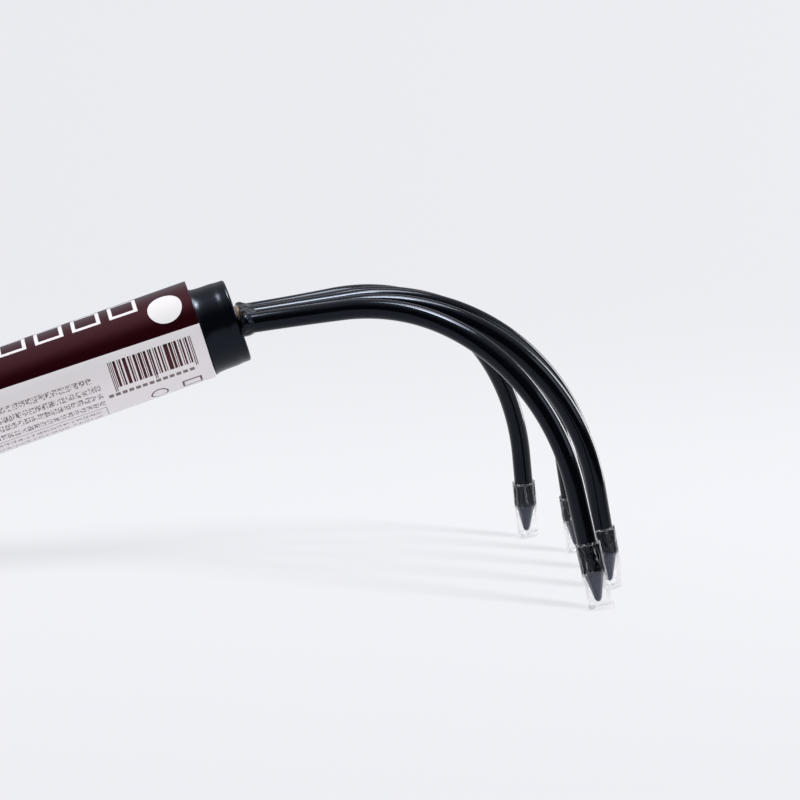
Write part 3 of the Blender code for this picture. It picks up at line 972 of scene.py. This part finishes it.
# %% Ferrule
FRONT_ROUND = 0.8                # radius of the front edge
CUP_BORE = 11.4                  # radius inside the cup
CUP_FLOOR = 1.2                  # thickness of the front
TANG_HOLE = 4.5                  # radius of the hole for the tang


def ferrule_wall(behind):
    """The outer radius. It swells by 0.22 mm at 3.4 mm behind the face, along an S curve, and the
    flare grows e times with every 1.05 mm towards the rear edge."""
    crown = 0.22 / (1 + np.exp((behind - 3.4) / 0.42))
    flare = FLARE * np.exp(-(FERRULE_LENGTH - behind) / 1.05)
    return FERRULE_RADIUS - crown + flare


def make_ferrule():
    """A quarter circle at the front edge, the wall, the lip at the rear, and back inside the cup."""
    angle = np.linspace(0, math.pi / 2, 14)
    shoulder = ferrule_wall(FRONT_ROUND) - FRONT_ROUND
    front = np.array([FRONT_ROUND, shoulder]) + FRONT_ROUND * np.stack([-np.cos(angle), np.sin(angle)], 1)
    behind = np.linspace(FRONT_ROUND, FERRULE_LENGTH - 0.25, 90)[1:]
    side = np.stack([behind, ferrule_wall(behind)], 1)
    inside = rounded([
        (FERRULE_LENGTH, FERRULE_RADIUS + FLARE, 0.2), (FERRULE_LENGTH, CUP_BORE, 0),
        (CUP_FLOOR, CUP_BORE, 0), (CUP_FLOOR, TANG_HOLE, 0),
    ], 6)
    outline = np.vstack([[(0, TANG_HOLE)], front, side, inside])
    ferrule = turned("enamelled_ferrule", outline, enamel, loop=True)
    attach(ferrule, "tool")
    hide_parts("ferrule")
    return ferrule


print("ferrule:", [round(c / MM, 1) for c in make_ferrule().dimensions], "mm")

# %% [markdown]
# ## Filler
# Only the filler's bead shows, as a tan rim round the middle bar. It is a ring with a soft edge,
# turned like the rest: a torus would be too thin where it meets the ferrule.

# %% Filler bead
BEAD_FRONT = -1.4                # in front of the ferrule's face
BEAD_RADIUS = 4.1
PLUG_RADIUS = 4.0                # in the ferrule's hole
PLUG_END = 1.35
FILLER_BORE = 3.2                # round the bar


def make_filler():
    """A bead in front of the face, and a plug of slightly smaller radius in the hole behind it."""
    outline = rounded([
        (BEAD_FRONT, FILLER_BORE, 0), (BEAD_FRONT, BEAD_RADIUS, 0.6), (-0.2, BEAD_RADIUS, 0.3),
        (-0.2, PLUG_RADIUS, 0), (PLUG_END, PLUG_RADIUS, 0), (PLUG_END, FILLER_BORE, 0),
    ])
    bead = turned("filler_bead", outline, filler, loop=True)
    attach(bead, "tool")
    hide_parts("tang_filler")
    return bead


print("filler:", [round(c / MM, 1) for c in make_filler().dimensions], "mm")

# %% [markdown]
# ## Bars
# Five round bars leave the ferrule side by side, rise a little, fan out, arch over and fall nearly
# straight to their points. A Bezier curve with a bevel could follow them by eye. The real bars are
# bent over formers, so a bar's slope and bearing are plain functions of the length along it, and
# adding up small steps of that heading gives its axis. The middle bar runs back as the tang.

# %% Headings of the bars
RANKS = {"right_outer": -2, "right_inner": -1, "middle": 0, "left_inner": 1, "left_outer": 2}
BAR_RADIUS = 2.9
BAR_SPACING = 6.1                # from bar to bar, where they leave the ferrule
RISE = math.radians(8.2)         # slope of the bars where they leave the ferrule
STRAIGHT_RUN = 34.0              # before the arch; less by the rank squared, so 1 or 4 less
ARCH_RADIUS = 64.0
FALL_DEGREES = {-2: 76.0, -1: 80.0, 0: 80.0, 1: 80.0, 2: 83.0}      # slope of the last stretch
SPLAY = {0: 0.0, 1: math.radians(14.8), 2: math.radians(31.1)}      # of middle, inner, outer bars
SPLAY_RUN = 60.0                 # length over which a bar turns outwards
KINK_LENGTH = 4.0                # over which the middle bar turns from the tang's slope to its own


def slope(rank, distance):
    """Elevation of a bar: it rises, bends over at a steady radius and then falls straight."""
    arch = np.maximum(0, distance - (STRAIGHT_RUN - rank * rank)) / ARCH_RADIUS
    angle = np.maximum(RISE - arch, -math.radians(FALL_DEGREES[rank]))
    if rank == 0:
        kink = np.minimum(distance / KINK_LENGTH, 1)
        angle = np.where(distance < KINK_LENGTH, PITCH + (RISE - PITCH) * kink, angle)
    return angle


def swing(rank, distance):
    """Azimuth of a bar: it turns outwards evenly over the splay run."""
    return np.sign(rank) * SPLAY[abs(rank)] * np.clip(distance / SPLAY_RUN, 0, 1)


arches = [(math.radians(fall) + RISE) * ARCH_RADIUS for fall in FALL_DEGREES.values()]
print("arches are", [round(arch, 1) for arch in arches], "mm long")

# %% Axes of the bars
LINE_STEP = 0.25
LONGEST = 200                    # mm: more than any bar
TIP_HEIGHT = 2.2                 # of the steel tips over the ground


class Line:
    """The axis of one bar, from the ferrule's face to the steel tip, with its directions."""

    def __init__(self, rank):
        self.rank = rank
        middle = np.arange(0, LONGEST, LINE_STEP) + LINE_STEP / 2
        steps = self.heading(middle) * LINE_STEP
        start = ROOT + np.array([0, rank * BAR_SPACING, 0])
        self.points = start + np.vstack([np.zeros(3), np.cumsum(steps, 0)])
        self.marks = np.arange(len(self.points)) * LINE_STEP
        self.length = self.where_height(TIP_HEIGHT)

    def heading(self, distance):
        """The direction in which the bar runs."""
        up, out = slope(self.rank, distance), swing(self.rank, distance)
        return np.stack([np.cos(up) * np.cos(out), np.cos(up) * np.sin(out), np.sin(up)], -1)

    def crown(self, distance):
        """Upwards across the bar."""
        up, out = slope(self.rank, distance), swing(self.rank, distance)
        return np.stack([-np.sin(up) * np.cos(out), -np.sin(up) * np.sin(out), np.cos(up)], -1)

    def flank(self, distance):
        """To the left across the bar."""
        out = swing(self.rank, distance)
        return np.stack([-np.sin(out), np.cos(out), out * 0], -1)

    def where_height(self, height):
        """How far along the bar its axis falls through a height, past the middle of its arch."""
        below = np.argmax((self.points[:, 2] < height) & (self.marks > LONGEST / 2))
        high, low = self.points[below - 1, 2], self.points[below, 2]
        return self.marks[below - 1] + LINE_STEP * (high - height) / (high - low)

    def at(self, distance):
        """The point of the axis at a distance along it."""
        return np.stack([np.interp(distance, self.marks, self.points[:, i]) for i in range(3)], -1)

    def tube(self, distance, radius, angle, lean):
        """Points at a radius round the axis; the angle starts at the left and grows upwards."""
        centre = self.at(distance) + self.crown(distance) * lean[..., None]
        left, up = self.flank(distance), self.crown(distance)
        ring = left * np.cos(angle)[..., None] + up * np.sin(angle)[..., None]
        return centre + ring * radius[..., None]


LINES = {side: Line(rank) for side, rank in RANKS.items()}
print("bars are", [round(float(line.length), 1) for line in LINES.values()], "mm long")

# %% One bar
TAPER_LENGTH = 8.5
TIP_RADIUS = 0.95
TIP_LEAN = 0.5                   # how far the ground tip lies off the axis, towards the handle
TANG_LENGTH = 50.0
BAR_STARTS = {0: 0.0, 1: 2.1, 2: 1.2}    # in front of the ferrule's face, under the weld
BAR_COLUMNS = 48


def taper_radius(part):
    """Radius over the last stretch: an even taper over 0.93 of it, then a blunt round nose.

    The nose multiplies the radius by the height of a quarter circle over the last 0.12.
    """
    taper = BAR_RADIUS - (BAR_RADIUS - TIP_RADIUS) * np.minimum(part / 0.93, 1)
    nose = np.sqrt(np.clip(1 - ((part - 0.88) / 0.12).clip(0, 1) ** 2, 0.02, 1))
    return taper * nose


def make_tine(side):
    """A bar along its line, with its tip ground to a taper. The middle one carries the tang."""
    line = LINES[side]
    taper_start = line.length - TAPER_LENGTH
    even = np.linspace(BAR_STARTS[abs(line.rank)], taper_start, 260)
    distance = np.concatenate([even, np.linspace(taper_start, line.length, 70)[1:]])
    part = np.clip((distance - taper_start) / TAPER_LENGTH, 0, 1)
    angle = np.linspace(0, 2 * math.pi, BAR_COLUMNS, endpoint=False)
    radius = taper_radius(part)[:, None]
    grid = line.tube(distance[:, None], radius, angle[None, :], -TIP_LEAN * part[:, None])
    if line.rank == 0:
        behind = np.linspace(TANG_LENGTH, 0.5, 30)
        spoke = -NEAR * np.cos(angle)[:, None] + UPWARD * np.sin(angle)[:, None]
        tang = (ROOT - FORWARD * behind[:, None])[:, None] + spoke * BAR_RADIUS
        grid = np.vstack([tang, grid])
        distance = np.concatenate([-behind, distance])
    chart = ((line.length - distance) * MM, np.linspace(0, 1, BAR_COLUMNS + 1))
    tine = keep_edges(surface("bar_" + side, grid * MM, tine_enamel.owner, chart=chart))
    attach(tine, "tool")
    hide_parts("tine_" + side)
    return tine


print("tips are", 2 * TIP_RADIUS, "mm thick")

# %% [markdown]
# ## Weld
# A lumpy collar of weld joins the row of bars in front of the ferrule, black with enamel. Welds are
# often sculpted by hand or made with a noise modifier. Here a few sines of different lengths make
# the lumps, so that the collar still closes on itself. It is thickest near the ferrule, thins out
# forwards, and holds back on the near side of the top, where the filler shows.

# %% Round the row of bars
HALF_ROW = 2 * BAR_SPACING              # from the middle bar's axis to an outer bar's
HALF_CIRCLE = math.pi * BAR_RADIUS
LAP = 4 * HALF_ROW + 2 * HALF_CIRCLE


def stadium(travel):
    """Where a lap round the row has got to: the y that the collar is drawn about, and the turn.

    The lap starts over the left outer bar, runs right over the tops, goes round the right outer bar,
    runs back underneath, and goes round the left one. The turn is 0 on top and half a turn below.
    """
    over = travel < 2 * HALF_ROW
    right = travel < 2 * HALF_ROW + HALF_CIRCLE
    under = travel < 4 * HALF_ROW + HALF_CIRCLE
    over_y = np.clip(HALF_ROW - travel, -HALF_ROW, HALF_ROW)
    under_y = np.clip(travel - (3 * HALF_ROW + HALF_CIRCLE), -HALF_ROW, HALF_ROW)
    turn_right = (travel - 2 * HALF_ROW) / BAR_RADIUS
    turn_left = (travel - 4 * HALF_ROW - HALF_CIRCLE) / BAR_RADIUS + math.pi
    centre_y = np.select([over, right, under], [over_y, -HALF_ROW, under_y], HALF_ROW)
    turn = np.select([over, right, under], [0.0, turn_right, math.pi], turn_left)
    return centre_y, turn


print("a lap round the bars is", round(LAP, 1), "mm")

# %% Weld
HELD_BACK_AT = 1.8 * HALF_ROW           # travel at which the collar's rear edge holds back most


def make_weld():
    """A collar round the row: rows run forwards from its rear edge, columns go round the stadium.

    Both edges follow sums of sines of the travel. The thickness is a sum of sines times the sine of
    half a turn over the length, bunched towards the rear by a power.
    """
    travel = np.linspace(0, LAP, 260, endpoint=False)
    centre_y, turn = stadium(travel)
    rear = 0.06 + 0.85 * np.exp(-((travel - HELD_BACK_AT) / 3.4) ** 2)
    front = 4.3 + 0.7 * np.sin(travel / 2.3) + 0.4 * np.sin(travel / 1.1 + 1)
    part = np.linspace(0, 1, 40)[:, None]
    ahead = rear + (front - rear) * part
    lumps = np.sin(travel / 1.45 + 4 * part) * 0.24 + np.sin(travel / 0.83 - 6 * part + 2) * 0.15
    thick = (0.85 - 0.2 * np.cos(turn) + lumps) * np.sin(math.pi * part**0.45)
    reach = BAR_RADIUS - 0.15 + thick
    x = ROOT[0] + ahead
    y = centre_y - reach * np.sin(turn)
    z = ROOT[2] + ahead * math.sin(RISE) + reach * np.cos(turn)
    weld = keep_edges(surface("weld_bead", np.stack([x, y, z], 2) * MM, weld_enamel.owner), 60)
    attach(weld, "tool")
    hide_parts("root_weld")
    return weld


print("weld:", [round(c / MM, 1) for c in make_weld().dimensions], "mm")

# %% [markdown]
# ## Caps
# Each point wears a tube of clear soft plastic. Its top grips the bar, and its foot was pinched flat
# and sealed, each with the flat turned its own way. A subdivided box could be pushed into shape by
# hand. A formula for the two half widths, from a circle to a line, gives the pinch instead: what the
# tube loses in thickness it gains in width, since the plastic doesn't stretch.

# %% The pinched tube
CAP_TURN = {"left_outer": 45, "left_inner": 35, "middle": 40, "right_inner": 50, "right_outer": 32}
CAP_LENGTH = 18.2
CAP_GRIP = 7.5                   # length that stays round
CAP_BORE = 3.2                   # radius of the hollow
CAP_WALL = 0.4
SEAL_HEIGHT = 1.3                # of the solid foot
SEAL_HALF = 0.6                  # half of its thickness
HOLLOW_END = CAP_LENGTH - SEAL_HEIGHT


class PinchedTube:
    """Where one cap sits: its rim on the bar, its axis down to the foot, and the flat of its pinch."""

    def __init__(self, side):
        line = LINES[side]
        self.turn = math.radians(CAP_TURN[side])
        self.down = line.heading(np.array(line.length))
        foot = line.at(line.length) + self.down * (TIP_HEIGHT / -self.down[2])
        self.rim = foot - self.down * CAP_LENGTH
        self.flat = np.array([math.cos(self.turn), math.sin(self.turn), 0])
        wide_top = self.flat - self.down * (self.flat @ self.down)
        self.wide_top = wide_top / np.linalg.norm(wide_top)
        self.thick_top = np.cross(self.down, self.wide_top)
        self.thick_foot = np.cross([0, 0, -1.0], self.flat)

    def axis(self, depth):
        """Points of the axis at depths below the rim."""
        return (self.rim + self.down * depth[:, None])[:, None]

    def half_sizes(self, depth, outside):
        """Half the thickness and half the width of the wall.

        The thickness follows a curve of power 3 from round to flat. Half the width grows by what
        the thickness loses, times pi / 2 - 1, and that about keeps the length round the tube.
        """
        part = np.clip((depth - CAP_GRIP) / (HOLLOW_END - CAP_GRIP), 0, 1)
        thick = CAP_BORE * (1 - (part * 0.985) ** 3) ** (1 / 3)
        wide = CAP_BORE + (CAP_BORE - thick) * (math.pi / 2 - 1)
        if outside:
            thick, wide = np.maximum(thick + CAP_WALL, SEAL_HALF), wide + CAP_WALL
        return thick[:, None], wide[:, None]

    def wall(self, depth, angle, outside):
        """The wall's points. Its directions swing from square to the bar to level with the ground."""
        thick, wide = self.half_sizes(depth, outside)
        blend = np.clip((depth - CAP_GRIP) / (CAP_LENGTH - CAP_GRIP), 0, 1)
        blend = (blend * blend * (3 - 2 * blend))[:, None, None]
        wide_way = self.wide_top * (1 - blend) + self.flat * blend
        thick_way = self.thick_top * (1 - blend) + self.thick_foot * blend
        ring = wide_way * (wide * np.cos(angle))[..., None] + thick_way * (thick * np.sin(angle))[..., None]
        return self.axis(depth) + ring


print("a cap's hollow is", round(HOLLOW_END, 1), "mm deep")

# %% Caps
CAP_EXTRA = {"right_outer": 1.2}     # caps are cut by hand, so one reaches further up its bar
CAP_COLUMNS = 96


def clinging(depth, angle, turn):
    """1 where the soft wall clings to the bar, 0 where it stands off: stripes with ragged ends.

    The stripes are two sines round the cap, shifted by the cap's own turn. They start just below
    the rim and end where the grip does, at a depth that wavers round the cap.
    """
    stripes = np.sin(7 * angle + turn * 9) + 0.6 * np.sin(12 * angle + turn * 23 + 0.5 * depth)
    clings = np.clip(stripes * 1.6 + 2.1, 0, 1)
    end = CAP_GRIP + 0.5 * np.sin(9 * angle + turn * 5) + 0.3 * np.sin(17 * angle)
    return clings * np.clip((depth - 0.5) / 0.2, 0, 1) * np.clip((end - depth) / 0.3, 0, 1)


def make_cap(side):
    """A soft tube: its outer wall from the foot to the rim, then its hollow from the rim down."""
    tube = PinchedTube(side)
    angle = np.linspace(0, 2 * math.pi, CAP_COLUMNS, endpoint=False)
    outer, inner = np.linspace(CAP_LENGTH, 0, 90), np.linspace(0, HOLLOW_END, 120)
    inside, axis = tube.wall(inner, angle, False), tube.axis(inner)
    clings = clinging(inner[:, None], angle[None, :], tube.turn)[..., None]
    inside = axis + (inside - axis) * (1 - clings * (1 - (BAR_RADIUS - 0.04) / CAP_BORE))
    grid = np.vstack([tube.wall(outer, angle, True), inside])
    depth = np.concatenate([outer, inner])
    lengthen = np.clip(1 - depth / CAP_GRIP, 0, 1)[:, None, None] * CAP_EXTRA.get(side, 0.0)
    grid = (grid - tube.down * lengthen) * MM
    chart = (depth * MM, np.linspace(0, 1, CAP_COLUMNS + 1))
    cap = keep_edges(surface("clear_cap_" + side, grid, clear_plastic.owner, chart=chart))
    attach(cap, "cap_" + side)
    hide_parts("tip_cap_" + side)
    return cap


for side in RANKS:
    make_tine(side)
    print("cap", side, [round(c / MM, 1) for c in make_cap(side).dimensions], "mm")

# %% [markdown]
# ## Lamps for the enamel alone
# The glint and the edge lamp are strong and small. On clear film they would burn white specks, and
# on the ground a hot spot. Light linking keeps them to the enamelled pieces, which a shade or a
# flag does in a real studio.

# %% Light linking
enamelled = [piece for piece in bpy.data.objects if piece.name.startswith(("bar_", "weld_", "enamelled_"))]
light_only(glint_lamp, *enamelled)
light_only(edge_lamp, *enamelled)
print("lit by the glint and edge lamps:", [piece.name for piece in enamelled])

# %% [markdown]
# ## Size
# The box of the CAD model is kept beside the box of the finished pieces, so that a piece that grew
# past the model would show.

# %% Size
visual_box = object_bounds()
sizes = {"cad": [list(corner) for corner in cad_box], "visual": [list(corner) for corner in visual_box]}
for name, box in sizes.items():
    print(name, [[round(c / MM, 2) for c in corner] for corner in box])
